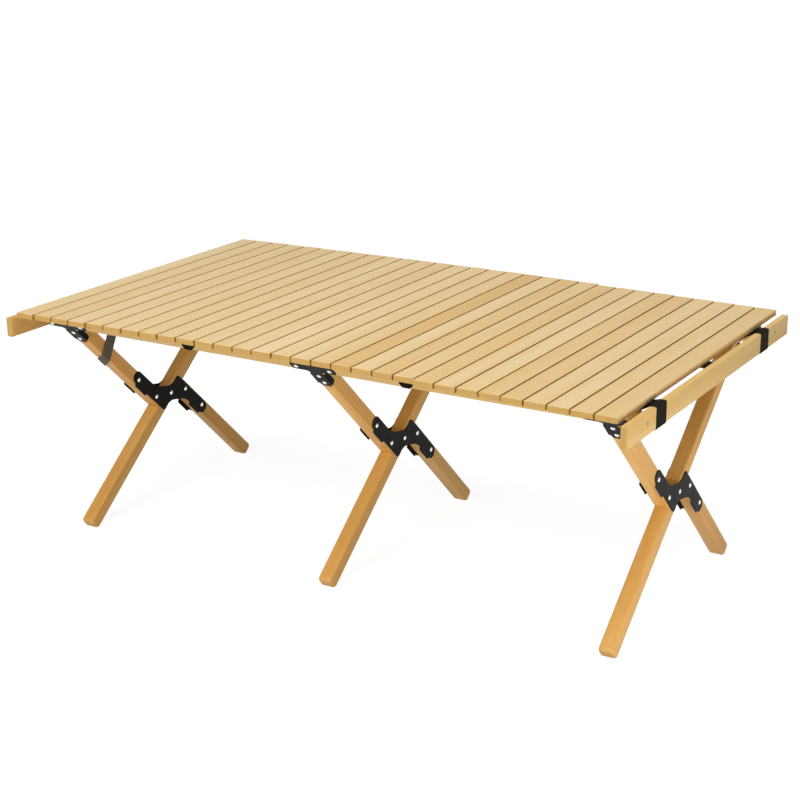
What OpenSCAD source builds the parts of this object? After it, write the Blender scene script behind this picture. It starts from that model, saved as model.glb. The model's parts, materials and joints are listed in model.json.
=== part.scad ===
// Roll-top camp table: a slatted top on three folding X frames of wood.
// The top is a row of slats held side by side on webbing. It lies on two side rails and ends in two
// end rails, whose pins stop the side rails from spreading. Each X frame has one long leg and a split
// leg, whose two halves are riveted between S-shaped plates, one on either side of the pivot, so that
// the halves lie flat against the long leg when the frame is folded.
// X runs along the table, Y to the back and Z up. The origin is on the floor under the middle.

/* [Top] */
// Height of the top above the floor
table_h = 450; // [420:5:520]
// Number of slats
slat_count = 30; // [30]
// Width of one slat
slat_w = 37.8; // [34:0.2:39]
// Distance from one slat to the next
slat_pitch = 40; // [39.6:0.2:44]
// Length of a slat, front to back
slat_l = 695; // [640:5:760]
// Thickness of a slat
slat_t = 10; // [8:0.5:14]
// Bevel along the edges of a slat
slat_bevel = 0.8; // [0.4:0.1:1.5]

/* [End rails] */
// Thickness of an end rail
end_rail_t = 12; // [10:0.5:16]
// Height of an end rail
end_rail_h = 36; // [30:1:40]
// Length that an end rail stands out past the slats, at each end
end_rail_over = 9; // [4:1:25]
// Gap between the last slat and the end rail
end_rail_gap = 5.5; // [5:0.5:12]
// Diameter of the pins in the end rails
pin_d = 6; // [4:0.5:8]
// Length of a pin past the end of the side rail
pin_engage = 8; // [4:1:12]

/* [Webbing] */
// Width of the webbing under the slats
web_w = 38; // [25:1:40]
// Thickness of the webbing
web_t = 1.6; // [1:0.1:2]
// Distance from the middle of a side rail to the outer edge of the webbing
web_rail_gap = 13.5; // [8:0.5:60]
// Length of the webbing ends that run in under the last slats
web_tongue = 15; // [8:1:30]
// Length of the middle strip's end that hangs on the inside of the end rail
web_drop = 22; // [10:1:28]

/* [Keeper tabs] */
// Slat with a keeper tab at either end, counted from each end of the top
keeper_slat = 10; // [2:1:14]
// Width of a tab
keeper_w = 28; // [20:1:34]
// Thickness of a tab
keeper_t = 1.6; // [1:0.1:2]
// Distance of a tab's hanging part from the end of its slat
keeper_in = 8; // [4:1:14]
// Length of a tab's flat part under the slat
keeper_flat = 18; // [12:1:22]
// Height of a tab's hanging part
keeper_drop = 14; // [8:1:18]

/* [Legs] */
// Width of a leg, seen from the end of the table
leg_w = 26; // [22:0.5:28]
// Thickness of a leg, along the table
leg_t = 27; // [22:0.5:32]
// Bevel along the edges of a leg
leg_bevel = 2; // [0.5:0.25:3]
// Height of the pivot above the floor
hub_h = 208; // [190:1:230]
// Distance of the feet's inner edges from the middle
foot_y = 236.5; // [210:0.5:260]
// Length of a leg past the inner edge of its foot
foot_toe = 6; // [3:0.5:10]
// Distance of the end X frames from the ends of the top
frame_inset = 51; // [50:1:100]
// Place of the middle X frame along the table
mid_frame_x = 4; // [-20:1:20]
// Room between the long leg and either half of the split leg when folded
nest_gap = 3; // [2:0.25:5]
// Distance of the split leg's inner ends from the pivot
split_end = 19; // [18:0.5:24]

/* [Side rails] */
// Distance of a side rail's ends from the ends of the top
rail_inset = 4; // [3:0.5:5]
// Depth of the flat planed on a side rail's top and outer corners
rail_flat = 2.5; // [1.5:0.25:4]

/* [Hub plates] */
// Thickness of the sheet metal
sheet_t = 1.5; // [1:0.1:2.5]
// Distance of a plate's inner rivets from the pivot, along the leg
rivet_near = 36; // [32:0.5:40]
// Distance of a plate's outer rivets from the pivot, along the leg
rivet_far = 106; // [90:1:130]
// Width of a plate's arms
plate_arm_w = 25; // [22:0.5:28]
// Distance of an arm's middle from the middle of its leg, towards the pivot
plate_shift = 2.5; // [0:0.25:4]
// Length of an arm past its outer rivet
plate_end = 17.5; // [14:0.5:22]
// Length that an arm runs past the pivot
plate_tail = 6; // [0:0.5:8]
// Corner radius at the short end of an arm
plate_corner_r = 8; // [3:0.5:9]
// Depth of the tabs under the arms
plate_tab_h = 5.5; // [3:0.5:7]
// Distance of the tabs from the pivot, along the leg
plate_tab_u = 66; // [60:1:75]
// Length of the tabs
plate_tab_l = 46; // [36:1:48]
// Corner radius of the tabs
plate_tab_r = 3; // [1:0.5:4]
// Distance along the leg at which an arm turns off towards the pivot
plate_shoulder = 50; // [42:1:60]
// Room between the long leg and a plate
plate_gap = 0.3; // [0.2:0.05:0.6]

/* [Rivets] */
// Diameter of a rivet's shank
rivet_d = 5; // [4:0.25:6]
// Diameter of a rivet's head
rivet_head_d = 9; // [8:0.5:12]
// Height of a rivet's head
rivet_head_h = 1.8; // [1:0.1:2.5]
// Clearance of a shank in its hole, on the radius
shank_clear = 0.05; // [0.02:0.01:0.1]

/* [Corner brackets] */
// Reach of a bracket along the side rail, to either side of the leg
bracket_reach = 45; // [36:1:46]
// Width of a bracket's rail arms
bracket_rail_w = 20; // [14:0.5:21]
// Width of a bracket's leg arm
bracket_leg_w = 22; // [16:0.5:24]
// Length of a bracket's leg arm below the side rail
bracket_leg_l = 48; // [46:1:70]
// Corner radius of a bracket
bracket_r = 6; // [3:0.5:7]
// Distance of a bracket's ears below the side rail
bracket_ear_top = 7; // [5:0.5:10]
// Length of the ears along the leg
bracket_ear_l = 33; // [26:1:36]
// Depth of the ears on the sides of the leg
bracket_ear_h = 8.5; // [5:0.5:12]
// Radius of the hollows between a bracket's arms
bracket_hollow_r = 9.5; // [4:0.5:10]
// Distance of the rail rivets from the middle of the leg
bracket_rivet_side = 34; // [24:1:38]
// Distance of the upper leg rivet below the side rail
bracket_rivet_top = 13; // [12:1:18]
// Distance from the upper leg rivet to the lower one
bracket_rivet_gap = 23; // [18:1:26]
// Length of a bracket rivet in the wood
bracket_rivet_l = 16; // [10:1:20]

/* [Anchor strap] */
// Width of the strap
strap_w = 26; // [15:1:30]
// Thickness of the strap
strap_t = 1.2; // [0.8:0.1:2]
// Distance of the strap below the near bracket, along the upper leg
strap_gap = 45; // [25:1:70]
// Lean of the strap from square across the leg
strap_lean = 17; // [0:1:20]
// Room between the strap's upper ends and the slats
strap_top_gap = 2; // [1:0.5:6]

/* [Hidden] */
$fn = 48;
// Small clearance between soft or sliding faces
rest_clear = 0.2;
// Overlap that keeps cutting faces apart
cut = 1;
// Size of a cutting block, larger than the table
block = 4000;

top_underside = table_h - slat_t;
slat_half_x = (slat_count * slat_pitch) / 2;
last_slat_edge = slat_half_x - (slat_pitch - slat_w) / 2;
end_rail_x = slat_half_x + end_rail_gap;
pin_reach = end_rail_gap + rail_inset + pin_engage;
side_rail_l = 2 * (slat_half_x - rail_inset);
end_frame_x = slat_half_x - frame_inset;
end_rail_l = slat_l + 2 * end_rail_over;
end_rail_z = top_underside - end_rail_h;
frame_x = [-end_frame_x, mid_frame_x, end_frame_x];
sides = ["left", "middle", "right"];

// The leg lines touch the floor at foot_y, and the halves of the split leg lie nest_offset to
// either side of the pivot, so the split leg stands a little steeper than the long one.
nest_offset = leg_w + nest_gap;
foot_reach = norm([foot_y, hub_h]);
foot_angle = atan2(hub_h, foot_y);
long_tilt = foot_angle - asin((leg_w / 2) / foot_reach);
split_tilt = foot_angle + asin((nest_offset - leg_w / 2) / foot_reach);
long_foot = sqrt(pow(foot_reach, 2) - pow(leg_w / 2, 2)) + foot_toe;
split_foot = sqrt(pow(foot_reach, 2) - pow(nest_offset - leg_w / 2, 2)) + foot_toe;

// A side rail has the section of a leg and is turned with its legs. Its top corner, planed flat,
// carries the slats.
function rail_spread(tilt) = (leg_w / 2) * (sin(tilt) + cos(tilt)) - rail_flat;
function rail_rise(tilt) = top_underside - rail_spread(tilt) - hub_h;
split_rail_u = (rail_rise(split_tilt) + nest_offset * cos(split_tilt)) / sin(split_tilt);
long_rail_u = rail_rise(long_tilt) / sin(long_tilt);
near_rail_y = -split_rail_u * cos(split_tilt) - nest_offset * sin(split_tilt);
near_rail_z = hub_h + split_rail_u * sin(split_tilt) - nest_offset * cos(split_tilt);
far_rail_y = long_rail_u * cos(long_tilt);
far_rail_z = hub_h + long_rail_u * sin(long_tilt);

// The anchor strap lies below the tail of the near bracket.
bracket_foot = leg_w / 2 + bracket_leg_l;
strap_u = split_rail_u - bracket_foot - strap_gap - strap_w / 2 / cos(strap_lean);

// The outer webbing strips lie inside the side rails.
web_y = min(-near_rail_y, far_rail_y) - web_rail_gap - web_w / 2;

// The end rails' pins lie against the flats on the side rails' outer corners.
pin_seat = pin_d / 2 + rest_clear;
near_pin_y = near_rail_y - rail_spread(split_tilt) - pin_seat;
far_pin_y = far_rail_y + rail_spread(long_tilt) + pin_seat;

function slat_name(i) = str("slat_", i < 10 ? "0" : "", i);
function slat_x(i) = (i - (slat_count + 1) / 2) * slat_pitch;

slat_colour = "burlywood";
leg_colour = "peru";
sheet_colour = "dimgray";
rivet_colour = "gainsboro";
web_colour = "black";
strap_colour = "gray";

// Outline of a bar's section, centred, with bevelled corners
module bevelled(w, h, bevel) {
    x = w / 2;
    y = h / 2;
    polygon([
        [-x + bevel, -y], [x - bevel, -y], [x, -y + bevel], [x, y - bevel],
        [x - bevel, y], [-x + bevel, y], [-x, y - bevel], [-x, -y + bevel]]);
}

// The split leg's own frame: Z along the leg from the pivot, Y towards the long leg
module on_split(x) {
    translate([x, 0, hub_h]) rotate([90 - split_tilt, 0, 0]) children();
}

// The long leg's own frame: Z along the leg from the pivot, Y to the leg's lower side
module on_long(x) {
    translate([x, 0, hub_h]) rotate([long_tilt - 90, 0, 0]) children();
}

// Everything below the floor
module under_floor() {
    translate([-block / 2, -block / 2, -block]) cube(block);
}

// One slat, lying along Y
module slat(i) {
    color(slat_colour)
    translate([slat_x(i), 0, top_underside + slat_t / 2])
    rotate([90, 0, 0])
    linear_extrude(slat_l, center = true)
    bevelled(slat_w, slat_t, slat_bevel);
}

// One end rail with the holes for its pins; side is -1 on the left and 1 on the right
module end_rail(side) {
    color(slat_colour)
    difference() {
        translate([side * (end_rail_x + end_rail_t / 2), 0, end_rail_z + end_rail_h / 2])
        rotate([90, 0, 0])
        linear_extrude(end_rail_l, center = true)
        bevelled(end_rail_t, end_rail_h, slat_bevel);
        end_pin_bars(side, pin_d / 2 + shank_clear, end_rail_t + 2 * cut, end_rail_x - cut);
    }
}

// Two bars along X at the pins' places
module end_pin_bars(side, r, l, x) {
    for (place = [[near_pin_y, near_rail_z], [far_pin_y, far_rail_z]])
        translate([side * (x + l / 2), place[0], place[1]])
        rotate([0, 90, 0])
        cylinder(h = l, r = r, center = true);
}

// The two pins of one end rail, which end flush with its outer face
module end_pins(side) {
    color(rivet_colour)
    end_pin_bars(side, pin_d / 2, pin_reach + end_rail_t, end_rail_x - pin_reach);
}

// A webbing loop round an end rail, with its end under the last slat
module strap_loop(side) {
    inner = end_rail_x - rest_clear;
    top = top_underside + rest_clear;
    loop_w = end_rail_t + 2 * rest_clear;
    loop_h = end_rail_h + 2 * rest_clear;
    color(web_colour) {
        difference() {
            translate([side * (inner + loop_w / 2) - loop_w / 2 - web_t, -web_w / 2, top - loop_h - web_t])
            cube([loop_w + 2 * web_t, web_w, loop_h + 2 * web_t]);
            translate([side * (inner + loop_w / 2) - loop_w / 2, -web_w / 2 - cut, top - loop_h])
            cube([loop_w, web_w + 2 * cut, loop_h]);
        }
        strap_tongue(side);
    }
}

// The end of a webbing strip, from under the last slat to an end rail
module strap_tongue(side) {
    tongue_in = last_slat_edge - web_tongue;
    tongue_out = end_rail_x - rest_clear;
    tongue_l = tongue_out - tongue_in;
    translate([side * (tongue_in + tongue_out) / 2, 0, top_underside - rest_clear - web_t / 2])
    cube([tongue_l, web_w, web_t], center = true);
}

// The middle strip's end, turned down against the inside of an end rail
module strap_end(side) {
    drop_x = end_rail_x - rest_clear - web_t / 2;
    color(web_colour) {
        strap_tongue(side);
        translate([side * drop_x - web_t / 2, -web_w / 2, top_underside - rest_clear - web_drop])
        cube([web_t, web_w, web_drop]);
    }
}

// All webbing ends at one end rail
module strap_loops(side) {
    for (y = [-web_y, web_y]) translate([0, y, 0]) strap_loop(side);
    strap_end(side);
}

// The three strips under the slats
module webbing() {
    strip_l = 2 * (last_slat_edge - web_tongue);
    color(web_colour)
    for (y = [-web_y, 0, web_y])
        translate([-strip_l / 2, y - web_w / 2, top_underside - rest_clear - web_t])
        cube([strip_l, web_w, web_t]);
}

// A keeper tab: flat under the near end of a slat, then hanging down
module keeper_tab(x) {
    translate([x - keeper_w / 2, keeper_in - slat_l / 2, top_underside - rest_clear])
    rotate([90, 0, 90])
    linear_extrude(keeper_w)
    polygon([
        [0, 0], [keeper_flat, 0], [keeper_flat, -keeper_t], [keeper_t, -keeper_t],
        [keeper_t, -keeper_drop], [0, -keeper_drop]]);
}

// The tabs at the near and the far end of one slat
module keeper_tabs(i) {
    color(web_colour)
    for (end = [0, 1]) mirror([0, end, 0]) keeper_tab(slat_x(i));
}

// A straight leg along Z from low to high
module leg(low, high, thickness) {
    translate([0, 0, low]) linear_extrude(high - low) bevelled(thickness, leg_w, leg_bevel);
}

// A hole across the table through a leg or plate
module cross_hole(u, n, r) {
    translate([0, n, u]) rotate([0, 90, 0]) cylinder(h = leg_t + 2 * (sheet_t + cut), r = r, center = true);
}

// The long leg, from the near foot to the far side rail
module long_leg(x) {
    color(leg_colour)
    difference() {
        on_long(x)
        difference() {
            leg(-long_foot, long_rail_u - leg_w / 2, leg_t - 2 * plate_gap);
            cross_hole(0, 0, rivet_d / 2 + shank_clear);
            long_bracket() bracket_holes();
        }
        under_floor();
    }
}

// The upper half of the split leg, from the hub to the near side rail
module upper_leg(x) {
    color(leg_colour)
    on_split(x)
    difference() {
        translate([0, -nest_offset, 0]) leg(split_end, split_rail_u - leg_w / 2, leg_t);
        for (u = [rivet_near, rivet_far]) cross_hole(u, -nest_offset, rivet_d / 2 + shank_clear);
        split_bracket() bracket_holes();
    }
}

// The lower half of the split leg, from the hub to the far foot
module lower_leg(x) {
    color(leg_colour)
    difference() {
        on_split(x)
        difference() {
            translate([0, nest_offset, 0]) leg(-split_foot, -split_end, leg_t);
            for (u = [rivet_near, rivet_far]) cross_hole(-u, nest_offset, rivet_d / 2 + shank_clear);
        }
        under_floor();
    }
}

// One arm of a hub plate with its half of the middle
module plate_arm() {
    r = plate_corner_r;
    half_w = plate_arm_w / 2;
    far = rivet_far + plate_end - half_w;
    translate([-far, 0]) circle(half_w);
    translate([-far, -half_w]) square([far + plate_tail - r, plate_arm_w]);
    translate([0, -half_w + r]) square([plate_tail, plate_arm_w - 2 * r]);
    for (y = [-half_w + r, half_w - r]) translate([plate_tail - r, y]) circle(r);
}

// A tab that reaches down from the lower edge of an arm; y is that edge
module plate_tab(x, y) {
    rounded(x, y - plate_tab_h, x + plate_tab_l, y + plate_tab_h, plate_tab_r);
}

// Outline of a hub plate, with the upper leg's arm towards -X and -Y and both tabs towards -Y
module plate_outline() {
    middle = nest_offset - plate_shift;
    inner = middle - plate_arm_w / 2;
    for (turn = [0, 180]) rotate(turn) translate([0, -middle]) plate_arm();
    polygon([
        [-plate_shoulder, -inner], [-plate_tail, inner], [plate_shoulder, inner], [plate_tail, -inner]]);
    plate_tab(-plate_tab_u - plate_tab_l, -middle - plate_arm_w / 2);
    plate_tab(plate_tab_u, inner);
}

// The two plates of one hub, with the holes for their rivets
module hub_plates(x) {
    color(sheet_colour)
    on_split(x)
    for (side = [-1, 1])
        translate([side * (leg_t + sheet_t) / 2, 0, 0])
        rotate([0, 90, 0])
        linear_extrude(sheet_t, center = true)
        difference() {
            plate_outline();
            circle(rivet_d / 2 + shank_clear);
            for (turn = [0, 180], u = [rivet_near, rivet_far])
                rotate(turn) translate([-u, -nest_offset]) circle(rivet_d / 2 + shank_clear);
        }
}

// A rivet along X through both plates, with a head at either end
module through_rivet(u, n) {
    grip = leg_t + 2 * sheet_t;
    translate([0, n, u])
    rotate([0, 90, 0]) {
        cylinder(h = grip, d = rivet_d, center = true);
        for (side = [0, 180]) rotate([side, 0, 0]) translate([0, 0, grip / 2]) rivet_head();
    }
}

// A domed head standing on Z
module rivet_head() {
    ball_r = (pow(rivet_head_d / 2, 2) + pow(rivet_head_h, 2)) / (2 * rivet_head_h);
    rotate_extrude()
    intersection() {
        translate([0, rivet_head_h - ball_r]) circle(ball_r, $fn = 96);
        square([rivet_head_d / 2, rivet_head_h]);
    }
}

// The rivets that hold the split legs in the plates
module hub_rivets() {
    color(rivet_colour)
    for (x = frame_x, turn = [-1, 1], u = [rivet_near, rivet_far])
        on_split(x) through_rivet(turn * u, -turn * nest_offset);
}

// The pivots of the X frames
module pivot_pins() {
    color(rivet_colour)
    for (x = frame_x) on_split(x) through_rivet(0, 0);
}

// A side rail along X, with flats on its top and outer corners; side is -1 near and 1 far
module side_rail(side, y, z, tilt) {
    spread = rail_spread(tilt);
    color(leg_colour)
    difference() {
        translate([0, y, z])
        rotate([0, 90, 0])
        linear_extrude(side_rail_l, center = true)
        rotate(side * tilt)
        bevelled(leg_w, leg_w, leg_bevel);
        translate([-block / 2, -block / 2, z + spread]) cube(block);
        translate([-block / 2, side > 0 ? y + spread : y - spread - block, -block / 2]) cube(block);
    }
}

// The near side rail with the holes for its bracket rivets
module near_rail() {
    difference() {
        side_rail(-1, near_rail_y, near_rail_z, split_tilt);
        for (x = frame_x) on_split(x) split_bracket() bracket_holes();
    }
}

// The far side rail with the holes for its bracket rivets
module far_rail() {
    difference() {
        side_rail(1, far_rail_y, far_rail_z, long_tilt);
        for (x = frame_x) on_long(x) long_bracket() bracket_holes();
    }
}

// A bracket's own frame: XY on the outer face of leg and rail, Y down the leg from the middle of
// the rail, Z out of the wood
module split_bracket() {
    translate([0, -nest_offset - leg_w / 2, split_rail_u]) rotate([90, 0, 0]) mirror([0, 1, 0]) children();
}

// The same frame on the far side, where the brackets are turned half round
module long_bracket() {
    translate([0, leg_w / 2, long_rail_u])
    rotate([90, 0, 0]) mirror([0, 1, 0]) mirror([0, 0, 1]) mirror([1, 0, 0])
    children();
}

// Places of a bracket's rivets: two on the rail, two on the leg
bracket_rivets = [
    [-bracket_rivet_side, 0], [bracket_rivet_side, 0],
    [0, leg_w / 2 + bracket_rivet_top], [0, leg_w / 2 + bracket_rivet_top + bracket_rivet_gap]];

// The holes in wood or sheet for one bracket's rivets
module bracket_holes() {
    for (p = bracket_rivets)
        translate([p[0], p[1], -bracket_rivet_l - rest_clear])
        cylinder(h = bracket_rivet_l + rest_clear + sheet_t + cut, r = rivet_d / 2 + shank_clear);
}

// A rectangle with round corners
module rounded(x0, y0, x1, y1, r) {
    translate([x0 + r, y0]) square([x1 - x0 - 2 * r, y1 - y0]);
    translate([x0, y0 + r]) square([x1 - x0, y1 - y0 - 2 * r]);
    for (x = [x0 + r, x1 - r], y = [y0 + r, y1 - r]) translate([x, y]) circle(r);
}

// One T-shaped bracket, with hollow curves between its arms and ears bent over the sides of the leg
module bracket() {
    half = bracket_leg_w / 2;
    rail_low = bracket_rail_w / 2;
    ear_in = leg_t / 2 + rest_clear;
    ear_out = ear_in + sheet_t;
    ear_t = sheet_t - rest_clear;
    ear_y = leg_w / 2 + bracket_ear_top;
    r = bracket_hollow_r;
    difference() {
        linear_extrude(sheet_t)
        difference() {
            union() {
                rounded(-bracket_reach, -rail_low, bracket_reach, rail_low, bracket_r);
                rounded(-half, -rail_low, half, bracket_foot, bracket_r);
                translate([-half - r, 0]) square([2 * (half + r), rail_low + r]);
                translate([-ear_out, ear_y]) square([2 * ear_out, bracket_ear_l]);
            }
            for (side = [-1, 1]) translate([side * (half + r), rail_low + r]) circle(r);
        }
        bracket_holes();
    }
    for (side = [-1, 1])
        translate([side * (ear_in + ear_t / 2), ear_y + bracket_ear_l / 2, (sheet_t / 2 - bracket_ear_h) / 2])
        cube([ear_t, bracket_ear_l - 2 * rest_clear, bracket_ear_h + sheet_t / 2], center = true);
}

// The brackets' rivets, with their heads on the sheet
module bracket_rivet_set() {
    for (p = bracket_rivets)
        translate([p[0], p[1], 0]) {
            translate([0, 0, -bracket_rivet_l]) cylinder(h = bracket_rivet_l + sheet_t, d = rivet_d);
            translate([0, 0, sheet_t]) rivet_head();
        }
}

module near_brackets() {
    color(sheet_colour) for (x = frame_x) on_split(x) split_bracket() bracket();
}

module far_brackets() {
    color(sheet_colour) for (x = frame_x) on_long(x) long_bracket() bracket();
}

module near_rivets() {
    color(rivet_colour) for (x = frame_x) on_split(x) split_bracket() bracket_rivet_set();
}

module far_rivets() {
    color(rivet_colour) for (x = frame_x) on_long(x) long_bracket() bracket_rivet_set();
}

// The strap of the left upper leg: from under the slats down one side of it, round below and up the other
module anchor_strap() {
    side_x = leg_t / 2 + rest_clear;
    low = -nest_offset - leg_w / 2 - rest_clear;
    color(strap_colour)
    difference() {
        on_split(-end_frame_x)
        intersection() {
            translate([0, low, 0])
            linear_extrude(split_rail_u)
            difference() {
                translate([-side_x - strap_t, -strap_t]) square([2 * (side_x + strap_t), table_h]);
                translate([-side_x, 0]) square([2 * side_x, table_h]);
                translate([-block, leg_w + rest_clear]) square([block, table_h]);
            }
            translate([0, low, strap_u])
            rotate([strap_lean, 0, 0])
            cube([2 * leg_t, 2 * table_h, strap_w], center = true);
        }
        translate([-block / 2, -block / 2, top_underside - strap_top_gap]) cube(block);
    }
}

for (i = [1 : slat_count])
    slat(i);
end_rail(-1);  // end_rail_left
end_rail(1);  // end_rail_right
end_pins(-1);  // end_pins_left
end_pins(1);  // end_pins_right
strap_loops(-1);  // strap_loops_left
strap_loops(1);  // strap_loops_right
webbing();
keeper_tabs(keeper_slat);  // keeper_tabs_left
keeper_tabs(slat_count + 1 - keeper_slat);  // keeper_tabs_right
for (k = [0 : 2]) {
    long_leg(frame_x[k]);
    upper_leg(frame_x[k]);
    lower_leg(frame_x[k]);
    hub_plates(frame_x[k]);
}
far_rail();
far_brackets();
far_rivets();
hub_rivets();
pivot_pins();
near_rail();
near_brackets();
near_rivets();
anchor_strap();
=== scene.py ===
# %% [markdown]
# # A roll-top camp table
#
# The table has a top of thin wooden slats on webbing, two side rails that carry it, and three X frames
# of square legs that turn between black steel plates. The solids have settled its sizes and joints, so
# this lesson gives each piece the edges, grain, weave and gloss of the real one, and lays the slats as
# loosely as they lie there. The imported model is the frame: every piece below is made in its place, in
# metres, and rides on one of its bodies.

# %% Load the frame
import json
import math
import random

import bmesh
import bpy
from mathutils import Matrix, Vector


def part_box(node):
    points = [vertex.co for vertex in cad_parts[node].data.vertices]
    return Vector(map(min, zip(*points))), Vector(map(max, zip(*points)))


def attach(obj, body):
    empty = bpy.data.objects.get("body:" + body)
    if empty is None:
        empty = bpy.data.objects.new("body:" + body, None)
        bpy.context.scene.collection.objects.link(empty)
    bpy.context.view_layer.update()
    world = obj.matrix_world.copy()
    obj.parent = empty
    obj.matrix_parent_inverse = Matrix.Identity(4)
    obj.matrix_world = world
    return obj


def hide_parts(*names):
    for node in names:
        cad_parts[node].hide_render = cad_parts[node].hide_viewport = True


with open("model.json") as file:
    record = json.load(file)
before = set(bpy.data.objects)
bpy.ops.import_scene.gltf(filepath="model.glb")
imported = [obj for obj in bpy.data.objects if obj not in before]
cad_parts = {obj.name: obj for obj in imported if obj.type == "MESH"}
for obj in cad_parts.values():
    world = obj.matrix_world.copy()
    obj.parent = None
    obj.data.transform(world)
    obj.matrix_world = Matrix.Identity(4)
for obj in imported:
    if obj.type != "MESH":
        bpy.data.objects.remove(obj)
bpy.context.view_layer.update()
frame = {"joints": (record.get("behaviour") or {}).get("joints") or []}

MM = 0.001
X_AXIS, Y_AXIS, Z_AXIS = Vector((1, 0, 0)), Vector((0, 1, 0)), Vector((0, 0, 1))

# %% [markdown]
# ## From a bmesh to a piece
#
# Each piece starts as a bmesh, Blender's mesh for editing in code. One helper turns it into an object,
# gives it its materials, hangs it on a body and hides the solids that it stands for. Another rounds every
# sharp edge: a real edge is never a line, and the thin strip that the bevel makes is what catches the
# light.

# %% Finish a piece and round its edges
def make_piece(name, bm, body, slot, materials, *nodes):
    """Turns a bmesh into an object that rides on a body and stands for CAD nodes."""
    mesh = bpy.data.meshes.new(name)
    bm.to_mesh(mesh)
    bm.free()
    for material in materials:
        mesh.materials.append(material)
    piece = bpy.data.objects.new(name, mesh)
    bpy.context.scene.collection.objects.link(piece)
    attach(piece, body)
    if nodes:
        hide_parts(*nodes)


def bevel(bm, geom, radius, segments, affect="EDGES", clamp=False):
    """Bevels edges, or with affect VERTICES corners, and gives back the new faces."""
    made = bmesh.ops.bevel(bm, geom=geom, offset=radius, offset_type="OFFSET", affect=affect,
                           segments=segments, profile=0.5, material=-1, clamp_overlap=clamp)
    return made["faces"]


def round_edges(bm, radius, segments=3, sharper_than=math.radians(25)):
    """Rounds the edges between faces that meet at more than an angle."""
    edges = [e for e in bm.edges if e.calc_face_angle(0) > sharper_than]
    for face in bevel(bm, edges, radius, segments, clamp=True):
        face.smooth = True

# %% [markdown]
# A joiner cuts a bar, carries it to its place and saws it off there. The next helpers do the same to a
# bmesh. Of the last three, one copies a finished shape to another place, one gives a bent sheet its
# thickness, and one picks the vertices out of what an extrusion made, so that they can be moved.

# %% Cut, place, copy and thicken
def block(size):
    """A plain block round the origin, as the blank for a bar of wood."""
    bm = bmesh.new()
    bmesh.ops.create_cube(bm, size=1)
    bmesh.ops.scale(bm, vec=size, verts=bm.verts)
    return bm


def bench(origin, x_axis, y_axis, z_axis):
    """The matrix from a piece's own axes to the table's."""
    turn = Matrix((x_axis, y_axis, z_axis)).transposed().to_4x4()
    return Matrix.Translation(origin) @ turn


def place(bm, matrix):
    """Moves a mesh from the bench to its place in the table."""
    bmesh.ops.transform(bm, matrix=matrix, verts=bm.verts)
    bm.normal_update()


def saw(bm, point, outward):
    """Cuts away what lies on the outward side of a plane and closes the cut."""
    geom = bm.verts[:] + bm.edges[:] + bm.faces[:]
    cut = bmesh.ops.bisect_plane(bm, geom=geom, plane_co=point, plane_no=outward, clear_outer=True)
    rim = [e for e in cut["geom_cut"] if isinstance(e, bmesh.types.BMEdge)]
    bmesh.ops.contextual_create(bm, geom=rim)
    bmesh.ops.recalc_face_normals(bm, faces=bm.faces)


def add_copy(bm, other, matrix):
    """Adds a placed copy of one bmesh to another."""
    part = bpy.data.meshes.new("part")
    other.to_mesh(part)
    part.transform(matrix)
    bm.from_mesh(part)
    bpy.data.meshes.remove(part)


def thicken(bm, thick):
    """Gives a bent sheet its thickness, with all faces turned outwards before and after."""
    bmesh.ops.recalc_face_normals(bm, faces=bm.faces)
    bmesh.ops.solidify(bm, geom=bm.faces[:], thickness=thick)
    bmesh.ops.recalc_face_normals(bm, faces=bm.faces)


def moved_verts(result):
    """The vertices among what an extrusion made."""
    return [g for g in result["geom"] if isinstance(g, bmesh.types.BMVert)]

# %% [markdown]
# ## The sizes that the pieces share
#
# Slats and rails take their places from the boxes of their nodes. The legs lie at a slant, where a box
# says little, so their slant is worked out as the joiner would: the long leg's lower edge and the split
# leg's lower edge both meet the floor at the same distance from the middle, and the two halves of the
# split leg lie to either side of the pivot, far enough apart for the long leg to fold in between.

# %% Leg geometry
hub = Vector(frame["joints"][0]["pos_m"])
leg_wide, leg_thick = 26 * MM, 27 * MM
nest = 29 * MM
foot_y, foot_toe = 236.5 * MM, 6 * MM
foot_reach, foot_angle = math.hypot(foot_y, hub.z), math.atan2(hub.z, foot_y)
long_tilt = foot_angle - math.asin(leg_wide / 2 / foot_reach)
split_tilt = foot_angle + math.asin((nest - leg_wide / 2) / foot_reach)
long_foot = math.sqrt(foot_reach ** 2 - (leg_wide / 2) ** 2) + foot_toe
split_foot = math.sqrt(foot_reach ** 2 - (nest - leg_wide / 2) ** 2) + foot_toe

along_split = Vector((0, -math.cos(split_tilt), math.sin(split_tilt)))
across_split = Vector((0, math.sin(split_tilt), math.cos(split_tilt)))
along_long = Vector((0, math.cos(long_tilt), math.sin(long_tilt)))
across_long = Vector((0, math.sin(long_tilt), -math.cos(long_tilt)))
print("tilts", round(math.degrees(long_tilt), 2), round(math.degrees(split_tilt), 2))

# %% [markdown]
# The slats lie on the planed upper corners of the side rails. So a rail's middle lies below the slats by
# the height of its turned section, less what was planed off, and where the leg's line reaches that
# height is where the rail sits on the leg.

# %% Where the side rails lie
def centre(node):
    """The middle of a node's box."""
    low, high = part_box(node)
    return (low + high) / 2


frame_x = {side: centre("long_leg_" + side).x for side in ("left", "middle", "right")}
rail_flat = 2.5 * MM


def rail_spread(tilt):
    """Half the height of a side rail, from its planed flat to its middle."""
    return leg_wide / 2 * (math.sin(tilt) + math.cos(tilt)) - rail_flat


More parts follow.
